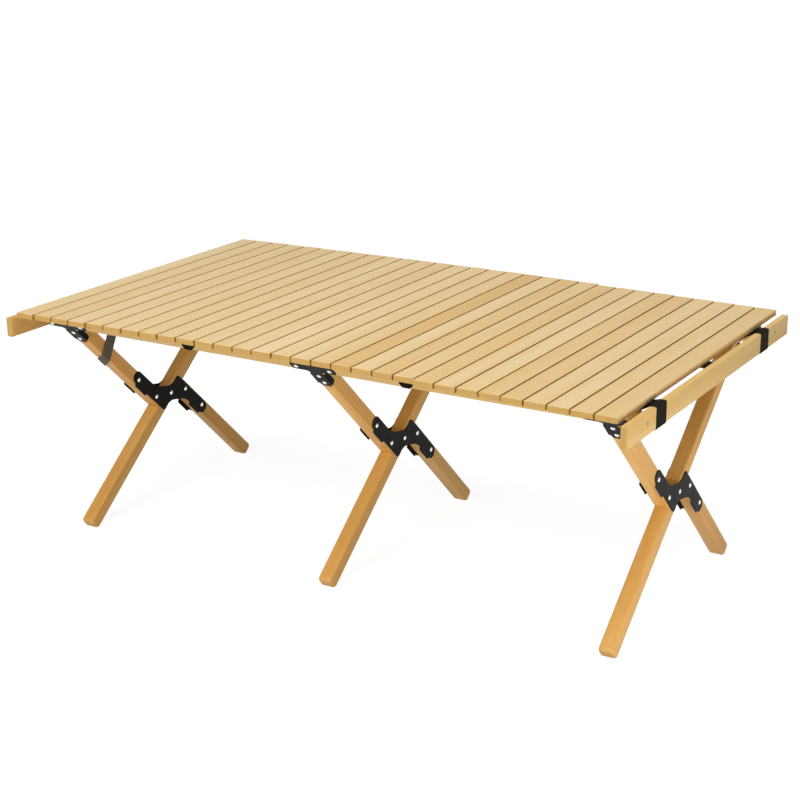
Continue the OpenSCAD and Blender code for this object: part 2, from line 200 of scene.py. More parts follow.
slat_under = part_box("slat_15")[0].z
split_rise = slat_under - rail_spread(split_tilt) - hub.z
split_rail_u = (split_rise + nest * math.cos(split_tilt)) / math.sin(split_tilt)
long_rail_u = (slat_under - rail_spread(long_tilt) - hub.z) / math.sin(long_tilt)
near_rail_at = hub + along_split * split_rail_u - across_split * nest
far_rail_at = hub + along_long * long_rail_u
print("side rails at", near_rail_at, far_rail_at)

# %% [markdown]
# ## Node trees
#
# A material is a tree of nodes. Written out in full, every noise takes six lines, so a small class adds
# and joins them in one. It holds no looks of its own. A number that is the same all over a surface goes
# straight onto the shader's own socket, where an export still finds it.

# %% A short way to write materials
def linear(r, g, b):
    """A colour given in sRGB, as the linear value that a shader takes."""
    def one(c):
        c /= 255
        return c / 12.92 if c <= 0.04045 else ((c + 0.055) / 1.055) ** 2.4
    return (one(r), one(g), one(b), 1)


class Tree:
    """A short way to add and join a material's nodes."""

    def __init__(self, name):
        self.material = bpy.data.materials.new(name)
        self.material.use_nodes = True
        self.tree = self.material.node_tree
        self.shader = self.tree.nodes["Principled BSDF"]

    def add(self, kind, **settings):
        node = self.tree.nodes.new("ShaderNode" + kind)
        for key, value in settings.items():
            setattr(node, key, value)
        return node

    def feed(self, socket, value):
        """Sets a number or a colour on a socket, or joins an output to it."""
        if isinstance(value, (int, float, tuple)):
            socket.default_value = value
        else:
            self.tree.links.new(value, socket)

    def give(self, socket, value):
        """Feeds one of the shader's own sockets."""
        self.feed(self.shader.inputs[socket], value)

    def attribute(self, name, output):
        node = self.add("Attribute", attribute_name=name, attribute_type="GEOMETRY")
        return node.outputs[output]

    def stretched_noise(self, vector, scale, detail=3, roughness=0.5):
        mapping, noise = self.add("Mapping"), self.add("TexNoise")
        self.feed(mapping.inputs["Vector"], vector)
        self.feed(mapping.inputs["Scale"], scale)
        self.feed(noise.inputs["Vector"], mapping.outputs["Vector"])
        for socket, number in (("Scale", 1), ("Detail", detail), ("Roughness", roughness)):
            self.feed(noise.inputs[socket], number)
        return noise.outputs["Fac"]

    def remap(self, value, low, high, to_low=0.0, to_high=1.0):
        node = self.add("MapRange", clamp=True)
        sockets = ("Value", "From Min", "From Max", "To Min", "To Max")
        for socket, number in zip(sockets, (value, low, high, to_low, to_high)):
            self.feed(node.inputs[socket], number)
        return node.outputs["Result"]

    def math(self, operation, *values):
        node = self.add("Math", operation=operation)
        for socket, value in zip(node.inputs, values):
            self.feed(socket, value)
        return node.outputs["Value"]

    def mix(self, factor, a, b):
        node = self.add("Mix", data_type="RGBA")
        for socket, value in zip((node.inputs[0], node.inputs[6], node.inputs[7]), (factor, a, b)):
            self.feed(socket, value)
        return node.outputs[2]

    def bump(self, height, distance, strength):
        node = self.add("Bump")
        for socket, value in (("Height", height), ("Distance", distance), ("Strength", strength)):
            self.feed(node.inputs[socket], value)
        self.give("Normal", node.outputs["Normal"])

# %% [markdown]
# ## Wood
#
# The slats are pale wood with a fine straight grain and a satin varnish; the legs are the same kind of
# wood, a little redder. A picture of planks would repeat, and the same noise on every slat would run
# across the gaps. So each piece carries two attributes: `grain`, its own place in the log, with Z along
# the fibres, and `tone`, how dark this plank turned out. One node tree reads both. Slow noise gives the
# broad figure, noise stretched along Z the fibres, and short dashes the dark pores and the pale flakes.

# %% Planed wood
def wood(name, pale, deep, dark, gloss=0.2):
    """Planed and varnished wood: pale and deep are its figure, dark the planks that turned out darker."""
    t = Tree(name)
    grain = t.attribute("grain", "Vector")
    tone = t.attribute("tone", "Fac")
    figure = t.stretched_noise(grain, (26, 26, 1.4), detail=4, roughness=0.55)
    fibres = t.stretched_noise(grain, (330, 330, 5), detail=3, roughness=0.6)
    pores = t.stretched_noise(grain, (1500, 1500, 55), detail=1)
    flakes = t.stretched_noise(grain, (420, 420, 90), detail=2)
    colour = t.mix(t.remap(figure, 0.34, 0.68), pale, deep)
    colour = t.mix(t.remap(fibres, 0.42, 0.72, 0, 0.42), colour, deep)
    colour = t.mix(t.remap(tone, -1, 1, 0, 0.62), colour, dark)
    colour = t.mix(t.remap(pores, 0.60, 0.72, 0, 0.30), colour, dark)
    colour = t.mix(t.remap(flakes, 0.62, 0.75, 0, 0.18), colour, pale)
    t.give("Base Color", colour)
    t.give("Roughness", t.remap(fibres, 0.3, 0.7, 0.40, 0.56))
    t.give("Specular IOR Level", gloss)
    pore_share = 0.7
    t.bump(t.math("ADD", fibres, t.math("MULTIPLY", pores, pore_share)), 0.12 * MM, 0.6)
    return t.material


slat_wood = wood("slat wood", linear(239, 214, 164), linear(230, 197, 138), linear(212, 162, 78))
# The darker wood for the slats' sides in the gaps is painted shade.
slat_side_painted_shade = wood("slat side wood with painted shade", linear(200, 156, 86), linear(180, 134, 64), linear(146, 102, 44))
rail_wood = wood("end rail wood", linear(236, 202, 132), linear(226, 184, 108), linear(202, 152, 78))
leg_wood = wood("leg wood", linear(240, 194, 112), linear(224, 164, 80), linear(186, 116, 38), 0.3)
print("wood", [m.name for m in (slat_wood, slat_side_painted_shade, rail_wood, leg_wood)])

# %% [markdown]
# A sawn end looks different from a planed side: the fibres are cut across, so it shows growth rings and
# open pores, and the varnish soaks in and leaves it dull. It reads the same `grain`, so the rings lie
# where the plank was in the log.

# %% End grain
def end_grain(name, pale, deep):
    """The sawn end of a plank: growth rings as arcs, darkened by the varnish that soaks in."""
    t = Tree(name)
    grain = t.attribute("grain", "Vector")
    rings = t.add("TexWave", wave_type="RINGS", rings_direction="Z", wave_profile="SIN")
    t.feed(rings.inputs["Vector"], grain)
    for socket, number in (("Scale", 95), ("Distortion", 3), ("Detail", 2), ("Detail Scale", 1.5)):
        t.feed(rings.inputs[socket], number)
    speck = t.stretched_noise(grain, (900, 900, 900), detail=2)
    colour = t.mix(t.remap(rings.outputs["Fac"], 0.1, 0.9, 0, 0.35), pale, deep)
    colour = t.mix(t.remap(speck, 0.52, 0.7, 0, 0.4), colour, deep)
    t.give("Base Color", colour)
    t.give("Roughness", t.remap(speck, 0.3, 0.7, 0.5, 0.68))
    t.give("Specular IOR Level", 0.2)
    t.bump(speck, 0.15 * MM, 0.5)
    return t.material


slat_end = end_grain("slat end grain", linear(204, 164, 94), linear(182, 140, 74))
leg_end = end_grain("leg end grain", linear(222, 180, 112), linear(196, 146, 80))
print("end grain", slat_end.name, leg_end.name)

# %% [markdown]
# The attributes are laid on the bmesh before it becomes a mesh. Both change evenly over a straight bar,
# so a value at each vertex is enough. A seeded random number gives every bar its own stretch of the log,
# the same one on each run. Faces that look along the fibres get the end grain.

# %% Lay the grain on a bar
planks = random.Random(30)
log_size = 9
end_facing = 0.85


def lay_grain(bm, along, across, tone):
    """Stores a bar's place in the log and its tone, and marks its sawn ends."""
    grain = bm.verts.layers.float_vector.new("grain")
    shade = bm.verts.layers.float.new("tone")
    third = along.cross(across)
    start = Vector([planks.uniform(0, log_size) for _ in range(3)])
    for vert in bm.verts:
        vert[grain] = start + Vector((vert.co.dot(across), vert.co.dot(third), vert.co.dot(along)))
        vert[shade] = tone
    for face in bm.faces:
        if abs(face.normal.dot(along)) > end_facing:
            face.material_index = 1

# %% [markdown]
# ## Slats
#
# Thirty slats lie side by side. Each is a planed strip with edges rounded just enough not to splinter,
# and no two are quite alike: some are darker, and the colour turns darker and warmer towards the right.
# They are stapled to webbing by hand, so they don't lie quite in line: the middle of the top lies further
# back than its ends, and the last nine slats lie a step nearer. The sides in the narrow gaps get darker
# wood as painted shade, so that the gaps read as dark lines.

# %% Make the slats
slat_round, side_facing = 0.9 * MM, 0.2
slat_count = 30
slat_names = ["slat_%02d" % i for i in range(1, slat_count + 1)]
first_slat, last_slat = slat_names[0], slat_names[-1]
darker_slats = {"slat_18": 1.0, "slat_20": 0.4, "slat_22": 0.35,
                "slat_25": 0.3, "slat_26": 0.4, "slat_30": 0.2}
tone_left, tone_right, tone_spread = -1.05, -0.3, 0.25
bow, step_from, step_nearer = 16 * MM, "slat_22", 5 * MM
loose = Vector((0.12, 1.2, 0)) * MM
top_left, top_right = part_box(first_slat)[0].x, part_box(last_slat)[1].x
slat_drift = {}
for name in slat_names:
    low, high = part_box(name)
    share = (centre(name).x - top_left) / (top_right - top_left)
    back = bow * math.sin(math.pi * share) - (step_nearer if name >= step_from else 0)
    slat_drift[name] = Y_AXIS * back + Vector([planks.uniform(-far, far) for far in loose])
    bm = block(high - low)
    round_edges(bm, slat_round)
    place(bm, Matrix.Translation(centre(name) + slat_drift[name]))
    usual = tone_left + (tone_right - tone_left) * share
    tone = darker_slats.get(name, usual + planks.uniform(-tone_spread, tone_spread))
    lay_grain(bm, Y_AXIS, X_AXIS, tone)
    # Sides that face another slat take the darker wood: painted shade in the gaps.
    outermost = {first_slat: -1, last_slat: 1}.get(name, 0)
    for face in bm.faces:
        if abs(face.normal.x) > side_facing and face.normal.x * outermost <= 0:
            face.material_index = 2
    make_piece(name + "_wood", bm, name, "slat_wood", [slat_wood, slat_end, slat_side_painted_shade], name)
print("slats", slat_count, "of", [round(c / MM, 1) for c in high - low])

# %% [markdown]
# ## End rails and their pins
#
# An end rail stands on edge past the last slat, hung on the webbing; the left one is darker. Two steel
# pins in it catch the outer sides of the side rails, so that the frame can't spread. The pins are dull,
# and their steel is darkened as painted shade for ends that would sit back in their holes; they show as a
# small dark disc on the rail's outer face, and a ring of bevel at each end keeps them from looking like
# drawn dots. The rivets further on are of the same kind of steel, but bright.

# %% Plated steel
def steel(name, colour, rough_low, rough_high):
    """Plated steel, with the fine streaks of handling in its gloss."""
    t = Tree(name)
    place_in = t.add("TexCoord").outputs["Object"]
    streaks = t.stretched_noise(place_in, (600, 600, 600), detail=3, roughness=0.6)
    darkening = 0.72
    handled = tuple(darkening * c for c in colour[:3]) + (1,)
    t.give("Metallic", 1)
    t.give("Base Color", t.mix(t.remap(streaks, 0.3, 0.7, 0, 0.5), colour, handled))
    t.give("Roughness", t.remap(streaks, 0.3, 0.7, rough_low, rough_high))
    t.bump(streaks, 0.04 * MM, 0.4)
    return t.material


# The pins' colour is darkened as painted shade, for ends set back in their holes.
pin_steel_painted_shade = steel("dull pin steel with painted shade", linear(150, 132, 96), 0.45, 0.62)
rivet_steel = steel("bright rivet steel", linear(236, 236, 234), 0.16, 0.3)
print("steel", pin_steel_painted_shade.name, rivet_steel.name)

# %% Make the end rails and pins
end_rail_round = 1.6 * MM
pin_radius, pin_bevel, pin_proud = 3 * MM, 0.5 * MM, 0.4 * MM
rim_angle = math.radians(60)
for side, body, tone in (("left", first_slat, 1), ("right", last_slat, -0.6)):
    node = "end_rail_" + side
    low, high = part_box(node)
    bm = block(high - low)
    round_edges(bm, end_rail_round)
    place(bm, Matrix.Translation(centre(node)))
    lay_grain(bm, Y_AXIS, Z_AXIS, tone)
    make_piece(node + "_wood", bm, body, "slat_wood", [rail_wood, slat_end], node)

    node = "end_pins_" + side
    low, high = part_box(node)
    pin_x = (low.x + high.x) / 2 + (pin_proud if side == "right" else -pin_proud)
    bm = bmesh.new()
    for y in (low.y + pin_radius, high.y - pin_radius):
        pin_at = Matrix.Translation((pin_x, y, near_rail_at.z if y < 0 else far_rail_at.z))
        bmesh.ops.create_cone(bm, cap_ends=True, segments=24, radius1=pin_radius, radius2=pin_radius,
                              depth=high.x - low.x, matrix=pin_at @ Matrix.Rotation(math.pi / 2, 4, "Y"))
    round_edges(bm, pin_bevel, 2, rim_angle)
    make_piece(node + "_steel", bm, body, "rivet_steel", [pin_steel_painted_shade], node)
print("end rails", 2, "pins", 4)

# %% [markdown]
# ## Webbing
#
# Webbing is a narrow, dense weave. Close up it shows slanting ribs that turn back at the middle, so the
# pattern needs to follow the strip: a `weave` attribute holds the distance across and along it. A sine
# of the two together makes the ribs, for bump and for painted shade in the valleys between them, and a
# little sheen stands for the fuzz.

# %% Woven material
rib_apart = 1.9 * MM


def woven(name, valley_painted_shade, ridge, sheen):
    """A dense weave, with painted shade in the valleys between its ribs."""
    t = Tree(name)
    weave = t.attribute("weave", "Vector")
    parts = t.add("SeparateXYZ")
    t.feed(parts.inputs["Vector"], weave)
    across, along = parts.outputs["X"], parts.outputs["Y"]
    rib, thread_count, thread_share = 2 * math.pi / rib_apart, 1.6, 0.5
    ribs = t.math("SINE", t.math("MULTIPLY", t.math("ADD", t.math("ABSOLUTE", across), along), rib))
    threads = t.math("SINE", t.math("MULTIPLY", across, rib * thread_count))
    height = t.math("ADD", ribs, t.math("MULTIPLY", threads, thread_share))
    fuzz = t.stretched_noise(weave, (700, 700, 700), detail=2)
    # Painted shade: the valleys between the ribs take the darker colour.
    colour = t.mix(t.remap(height, -1.2, 1.2), valley_painted_shade, ridge)
    t.give("Base Color", t.mix(t.remap(fuzz, 0.45, 0.7, 0, 0.35), colour, ridge))
    t.give("Roughness", t.remap(fuzz, 0.3, 0.7, 0.7, 0.88))
    t.give("Specular IOR Level", 0.08)
    t.give("Sheen Weight", sheen)
    t.give("Sheen Roughness", 0.5)
    t.bump(height, 0.25 * MM, 0.7)
    return t.material


black_webbing = woven("black webbing", linear(12, 9, 6), linear(31, 25, 17), 0.0)
grey_webbing = woven("grey strap webbing", linear(88, 79, 68), linear(128, 115, 100), 0.03)


def lay_weave(bm, across, along):
    """Stores the distance across and along a strip at each vertex."""
    weave = bm.verts.layers.float_vector.new("weave")
    for vert in bm.verts:
        vert[weave] = Vector((across(vert.co), along(vert.co), 0))


print("webbing", black_webbing.name, grey_webbing.name)

# %% [markdown]
# The strips run under all the slats, and bend where one slat meets the next. So each slat carries its own
# length of the three strips, cut at the same lines as the hinges, and two wire staples hold each strip to
# the slat. A staple is only a flat wire with its two corners bent in, so a block with its edges bevelled
# is enough.

# %% Make the webbing under the slats
web_low, web_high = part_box("webbing")
web_wide, web_edge, web_apart = 38 * MM, 0.5 * MM, 0.05 * MM
web_rows = (web_low.y + web_wide / 2, 0, web_high.y - web_wide / 2)
web_thick = web_high.z - web_low.z
slat_pitch = centre("slat_02").x - centre("slat_01").x
staple_size = Vector((1.1, 11, 0.7)) * MM
staple_apart, staple_round = 14 * MM, 0.25 * MM
staple_z = web_low.z - staple_size.z / 4


def from_nearest_row(co):
    """How far a point lies from the middle of its row of webbing."""
    return min((co.y - y for y in web_rows), key=abs)


for name in slat_names:
    middle = centre(name).x
    left = max(middle - slat_pitch / 2, web_low.x) + web_apart
    right = min(middle + slat_pitch / 2, web_high.x) - web_apart
    strips, staples = bmesh.new(), bmesh.new()
    for y in web_rows:
        spot = Matrix.Translation(((left + right) / 2, y, (web_low.z + web_high.z) / 2))
        size = Matrix.Diagonal((right - left, web_wide, web_thick, 1))
        bmesh.ops.create_cube(strips, size=1, matrix=spot @ size)
        for side in (-1, 1):
            spot = Matrix.Translation((middle + side * staple_apart / 2, y, staple_z))
            bmesh.ops.create_cube(staples, size=1, matrix=spot @ Matrix.Diagonal((*staple_size, 1)))
    long_edges = [e for e in strips.edges if abs((e.verts[1].co - e.verts[0].co).x) > slat_pitch / 2]
    bevel(strips, long_edges, web_edge, 2)
    lay_weave(strips, from_nearest_row, lambda co: co.x)
    round_edges(staples, staple_round, 1)
    make_piece(name + "_webbing", strips, name, "black_webbing", [black_webbing], "webbing")
    make_piece(name + "_staples", staples, name, "rivet_steel", [rivet_steel])
print("webbing rows at", [round(y / MM) for y in web_rows], "thick", round(web_thick / MM, 2))

# %% [markdown]
# At the ends the two outer strips come out from under the last slat, go over the end rail, down its outer
# face, and back up inside, where they are sewn. The path is drawn as a few corners in the plane of the
# rail's section, the vertex bevel rounds the corners, and the wire is then extruded to the strip's width
# and given its thickness. Small faces, as in the bends, are shaded smooth. The middle strip only comes
# out and turns down on the inside of the rail.

# %% A strip along a path
def strip_from_path(corners, wide, bend):
    """A strip that follows corners in the XZ plane, bent round them, and runs along Y."""
    bm = bmesh.new()
    verts = [bm.verts.new((x, -wide / 2, z)) for x, z in corners]
    for pair in zip(verts[:-1], verts[1:]):
        bm.edges.new(pair)
    bevel(bm, verts[1:-1], bend, 5, "VERTICES")
    wire = list({e for v in bm.verts for e in v.link_edges if not e.link_faces})
    sheet = bmesh.ops.extrude_edge_only(bm, edges=wire)
    bmesh.ops.translate(bm, vec=(0, wide, 0), verts=moved_verts(sheet))
    return bm

# %% Make the strap loops
loop_bend, loop_clear = 3.2 * MM, 0.3 * MM
climb_from, climb_to, tail_gap, drop_long = 2 * MM, 1 * MM, 2.4 * MM, 21 * MM
bend_face = 60 * MM ** 2
half = web_thick / 2
tongue_from, under = web_high.x, web_high.z - half
for side, body in (("left", first_slat), ("right", last_slat)):
    rail_low, rail_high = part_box("end_rail_" + side)
    rail_in, rail_out = sorted((abs(rail_low.x), abs(rail_high.x)))
    top, bottom = rail_high.z + loop_clear + half, rail_low.z - loop_clear - half
    outer, inner = rail_out + loop_clear + half, rail_in - loop_clear - half
    round_rail = ((tongue_from, under), (inner - climb_from, under), (inner + climb_to, top), (outer, top),
                  (outer, bottom), (inner, bottom), (inner, under - tail_gap))
    down_inside = ((tongue_from, under), (inner, under), (inner, under - drop_long))
    bm = bmesh.new()
    for row, path in zip(web_rows, (round_rail, down_inside, round_rail)):
        strip = strip_from_path(path, web_wide, loop_bend)
        add_copy(bm, strip, Matrix.Translation((0, row, 0)))
        strip.free()
    if side == "left":
        bmesh.ops.scale(bm, vec=(-1, 1, 1), verts=bm.verts)
    thicken(bm, web_thick)
    for face in bm.faces:
        face.smooth = len(face.verts) == 4 and face.calc_area() < bend_face
    lay_weave(bm, from_nearest_row, lambda co: abs(co.x) - co.z)
    node = "strap_loops_" + side
    make_piece(node + "_webbing", bm, body, "black_webbing", [black_webbing], node)
print("strap loops round rails from", round(rail_in / MM, 1), "to", round(rail_out / MM, 1))

# %% [markdown]
# Two slats, the tenth from either end, carry a short tab of the same webbing below each of their ends. It
# is the same kind of strip, flat under the slat and then hanging down with its lower corners cut off, and
# it moves with its slat's end.

# %% Make the keeper tabs
keeper_wide, keeper_bend, keeper_cut = 28 * MM, 2.5 * MM, 7 * MM
keeper_flat, keeper_hang = 18 * MM, 11.5 * MM
for side, body in (("left", "slat_10"), ("right", "slat_21")):
    node = "keeper_tabs_" + side
    low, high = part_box(node)
    spot = centre(body) + slat_drift[body]
    under, lowest = high.z - web_thick / 2, high.z - keeper_hang
    reach = (high.y - low.y) / 2 - web_thick / 2
    path = ((reach - keeper_flat, under), (reach, under), (reach, lowest))
    tab = strip_from_path(path, keeper_wide, keeper_bend)
    bevel(tab, [v for v in tab.verts if v.co.z < lowest + MM], keeper_cut, 1, "VERTICES")
    bm = bmesh.new()
    for end in (-1, 1):
        add_copy(bm, tab, bench(Vector((spot.x, spot.y, 0)), Y_AXIS * end, X_AXIS * -end, Z_AXIS))
    tab.free()
    thicken(bm, web_thick)
    lay_weave(bm, lambda co: co.x - spot.x, lambda co: abs(co.y) - co.z)
    make_piece(node + "_webbing", bm, body, "black_webbing", [black_webbing], node)
print("keeper tabs", 4)

# %% [markdown]
# ## Legs and side rails
#
# The legs are square bars with well rounded edges, sawn off at the floor so that each foot has a flat. The
# bar is made along Z, put in its slanting place and sawn with a plane at the floor, and a second cut takes
# the sharp upper edge off its end. It is rounded last, so that the foot's own edges are softened too, as on
# the real one.

# %% Make the legs
leg_round, toe_cut = 2.6 * MM, 4.5 * MM
split_end, turning_gap = 19 * MM, 0.3 * MM
leg_tones = -0.9, -0.2
floor_plane = Vector(), -Z_AXIS


def leg(name, body, x, low, high, offset, along, across, thick):
    """A leg from low to high along its line, offset to one side of the pivot."""
    bm = block(Vector((thick, leg_wide, high - low)))
    middle = Vector((x, 0, hub.z)) + across * offset + along * (low + high) / 2
    place(bm, bench(middle, X_AXIS, across, along))
    if low < -foot_reach / 2:
        saw(bm, *floor_plane)
        up = across if across.z > 0 else -across
        corner = middle + (up * leg_wide + along * (low - high)) / 2
        saw(bm, corner + (along - up) * toe_cut / 2, up - along)
    round_edges(bm, leg_round, 4)
    lay_grain(bm, along, X_AXIS, planks.uniform(*leg_tones))
    make_piece(name + "_wood", bm, body, "leg_wood", [leg_wood, leg_end], name)


for side, x in frame_x.items():
    leg("long_leg_" + side, "far_frame", x, -long_foot, long_rail_u - leg_wide / 2, 0,
        along_long, across_long, leg_thick - 2 * turning_gap)
    leg("upper_leg_" + side, "near_frame", x, split_end, split_rail_u - leg_wide / 2, -nest,
        along_split, across_split, leg_thick)
    leg("lower_leg_" + side, "near_frame", x, -split_foot, -split_end, nest,
        along_split, across_split, leg_thick)
print("legs", 3 * len(frame_x), "frames at", {s: round(x / MM, 1) for s, x in frame_x.items()})

# %% [markdown]
# The side rails are the same bar, turned with the legs that they sit on, with two corners planed flat: the
# upper one carries the slats, and the outer one faces the pins of the end rails.

# %% Make the side rails
rail_round = 1.8 * MM
rail_tones = -0.8, -0.3
for name, body, at, along, across, tilt, out in (
        ("near_rail", "near_frame", near_rail_at, along_split, across_split, split_tilt, -Y_AXIS),
        ("far_rail", "far_frame", far_rail_at, along_long, across_long, long_tilt, Y_AXIS)):
    low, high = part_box(name)
    bm = block(Vector((high.x - low.x, leg_wide, leg_wide)))
    place(bm, bench(at, X_AXIS, across, along))
    for outward in (Z_AXIS, out):
        saw(bm, at + outward * rail_spread(tilt), outward)
    round_edges(bm, rail_round)
    lay_grain(bm, X_AXIS, across, planks.uniform(*rail_tones))
    make_piece(name + "_wood", bm, body, "leg_wood", [rail_wood, leg_end], name)
print("side rails", round((high.x - low.x) / MM), "long")

# %% [markdown]
# ## Black steel
#
# The hub plates and corner brackets are stamped from sheet and powder coated: a satin black with a very
# fine pebble, paler where the light grazes it. A stamped outline is a handful of corners, each with its
# own radius, so the outline is one face with a few vertices, and a vertex bevel of each corner's own size
# rounds it. Extruding gives the sheet its thickness, and a last small bevel breaks the rim. At tight
# corners the bevel's points run together, so those that meet are merged.

# %% Powder coat and stamping
def powder_coat(name, colour, scuffed):
    """A satin coat with a fine pebble, scuffed in soft patches."""
    t = Tree(name)
    place_in = t.add("TexCoord").outputs["Object"]
    pebble = t.stretched_noise(place_in, (1400, 1400, 1400), detail=2)
    cloud = t.stretched_noise(place_in, (60, 60, 60), detail=3)
    t.give("Base Color", t.mix(t.remap(cloud, 0.4, 0.75, 0, 0.5), colour, scuffed))
    t.give("Roughness", t.remap(cloud, 0.3, 0.7, 0.38, 0.5))
    t.give("Specular IOR Level", 0.05)
    t.bump(pebble, 0.06 * MM, 0.5)
    return t.material


black_sheet = powder_coat("black powder coat", linear(17, 15, 13), linear(27, 24, 21))
sheet_thick, sheet_rim = 1.5 * MM, 0.35 * MM
merge_within = 0.001 * MM


def stamped(corners):
    """A sheet with an outline of (x, y, corner cut) points, from Z 0 up to its thickness."""
    bm = bmesh.new()
    verts = [bm.verts.new((x, y, 0)) for x, y, cut in corners]
    bm.faces.new(verts)
    for vert, (x, y, cut) in zip(verts, corners):
        bevel(bm, [vert], cut, 7, "VERTICES")
    sheet = bmesh.ops.extrude_face_region(bm, geom=bm.faces[:])
    bmesh.ops.translate(bm, vec=(0, 0, sheet_thick), verts=moved_verts(sheet))
    bmesh.ops.recalc_face_normals(bm, faces=bm.faces)
    for face in bm.faces:
        face.smooth = len(face.verts) == 4
    round_edges(bm, sheet_rim, 2, rim_angle)
    bmesh.ops.remove_doubles(bm, verts=bm.verts, dist=merge_within)
    return bm


print("sheet", black_sheet.name, round(sheet_thick / MM, 1), "thick")

# %% [markdown]
# A hub plate has one arm along each half of the split leg, so its outline is an S with the pivot in the
# middle, and each arm has a tab below its lower edge. The outline is written in the leg's own axes, X
# along the split leg and Y across it. Two plates hold each hub, one on either side of the legs.

# %% Make the hub plates
plate_end, plate_tail, plate_shoulder = 123.5 * MM, 6 * MM, 50 * MM
round_end, round_tail, round_hollow = 12.4 * MM, 8 * MM, 13 * MM
inner_edge, outer_edge = 14 * MM, 39 * MM
tab_from, tab_to, tab_slope, tab_deep = 66 * MM, 109 * MM, 1.5 * MM, 5.5 * MM
tab_foot, tab_round = 1 * MM, 2.5 * MM


def underside_tab(edge, sign):
    """The corners of a tab below an arm's lower edge, from the pivot outwards."""
    deep = edge - tab_deep
    return ((sign * tab_from, edge, tab_foot), (sign * (tab_from + tab_slope), deep, tab_round),
            (sign * (tab_to - tab_slope), deep, tab_round), (sign * tab_to, edge, tab_foot))


upper_arm = ((-plate_tail, -outer_edge, round_tail), *underside_tab(-outer_edge, 1),
             (plate_end, -outer_edge, round_end), (plate_end, -inner_edge, round_end),
             (plate_shoulder, -inner_edge, round_hollow), (plate_tail, inner_edge, round_hollow))
lower_arm = ((plate_tail, outer_edge, round_tail), (-plate_end, outer_edge, round_end),
             (-plate_end, inner_edge, round_end), *reversed(underside_tab(inner_edge, -1)),
             (-plate_shoulder, inner_edge, round_hollow), (-plate_tail, -inner_edge, round_hollow))
plate = stamped(upper_arm + lower_arm)
for side, x in frame_x.items():
    bm = bmesh.new()
    for inner_face in (x + leg_thick / 2, x - leg_thick / 2 - sheet_thick):
        add_copy(bm, plate, bench(Vector((inner_face, 0, hub.z)), along_split, across_split, X_AXIS))
    bmesh.ops.recalc_face_normals(bm, faces=bm.faces)
    node = "hub_plates_" + side
    make_piece(node + "_black", bm, "near_frame", "black_sheet", [black_sheet], node)
plate.free()
print("hub plates", 2 * len(frame_x))

# %% [markdown]
# A corner bracket is a T: its bar lies on the side rail and its stem runs down the leg, with two ears that
# are bent round the leg's sides. One half of the outline is written out, and the other is its mirror image.

# %% Make the corner brackets
tee_reach, rail_half = 45 * MM, 10 * MM
stem_half, stem_length = 11 * MM, 61 * MM
corner_cut, hollow_cut = 6 * MM, 9.5 * MM
ear_out, ear_from, ear_to, ear_deep = 15.2 * MM, 20 * MM, 53 * MM, 8.5 * MM
ear_cut, ear_round = 0.3 * MM, 4.5 * MM
half_tee = ((tee_reach, -rail_half, corner_cut), (tee_reach, rail_half, corner_cut),
            (stem_half, rail_half, hollow_cut), (stem_half, ear_from, ear_cut),
            (ear_out, ear_from, ear_cut), (ear_out, ear_to, ear_cut),
            (stem_half, ear_to, ear_cut), (stem_half, stem_length, corner_cut))
tee = stamped(half_tee + tuple((-x, y, cut) for x, y, cut in reversed(half_tee)))
ear = stamped(((ear_from, sheet_thick, ear_cut), (ear_to, sheet_thick, ear_cut),
               (ear_to, -ear_deep, ear_round), (ear_from, -ear_deep, ear_round)))
for inner_face in (-ear_out, ear_out - sheet_thick):
    add_copy(tee, ear, bench(X_AXIS * inner_face, Y_AXIS, Z_AXIS, X_AXIS))
ear.free()


def bracket_bench(x, rail_at, along, out):
    """A bracket's axes: Y down the leg from the middle of the rail, Z out of the wood."""
    origin = Vector((x, rail_at.y, rail_at.z)) + out * leg_wide / 2
    return bench(origin, (-along).cross(out), -along, out)


bracket_rows = {"near": ("near_frame", near_rail_at, along_split, -across_split),
                "far": ("far_frame", far_rail_at, along_long, across_long)}
for row, (body, rail_at, along, out) in bracket_rows.items():
    bm = bmesh.new()
    for x in frame_x.values():
        add_copy(bm, tee, bracket_bench(x, rail_at, along, out))
    bmesh.ops.recalc_face_normals(bm, faces=bm.faces)
    make_piece(row + "_brackets_black", bm, body, "black_sheet", [black_sheet], row + "_brackets")
tee.free()
print("brackets", 2 * len(frame_x))

# %% [markdown]
# ## Rivets
#
# Bright domed rivets hold it all. A rivet's head is the cap of a ball: a sphere is cut by a plane at the
# height of the sheet. One head is made and copied to every place, on both sides of the hubs and on the
# outside of the brackets. The axes of a hub make a mirror image of the head, which turns it inside out,
# so its faces are turned outwards again.

# %% Make the hub rivets and pivots
head_radius, head_height = 4.5 * MM, 1.8 * MM
ball = (head_radius ** 2 + head_height ** 2) / (2 * head_height)
head = bmesh.new()
bmesh.ops.create_uvsphere(head, u_segments=24, v_segments=24, radius=ball)
bmesh.ops.translate(head, vec=(0, 0, head_height - ball), verts=head.verts)
saw(head, Vector(), -Z_AXIS)
for face in head.faces:
    face.smooth = len(face.verts) <= 4

rivets_along = 36 * MM, 106 * MM
hub_rivets, pivots = bmesh.new(), bmesh.new()
for x in frame_x.values():
    for sign in (-1, 1):
        surface = Vector((x + sign * (leg_thick / 2 + sheet_thick), 0, hub.z))
        facing = bench(Vector(), along_split * sign, across_split, X_AXIS * sign)
        add_copy(pivots, head, Matrix.Translation(surface) @ facing)
        for end in (-1, 1):
            for u in rivets_along:
                spot = surface + (along_split * u - across_split * nest) * end
                add_copy(hub_rivets, head, Matrix.Translation(spot) @ facing)
for heads in (hub_rivets, pivots):
    bmesh.ops.recalc_face_normals(heads, faces=heads.faces)
make_piece("hub_rivets_steel", hub_rivets, "near_frame", "rivet_steel", [rivet_steel], "hub_rivets")
make_piece("pivot_pins_steel", pivots, "near_frame", "rivet_steel", [rivet_steel], "pivot_pins")
print("heads on each face of a hub", 1 + 2 * len(rivets_along))

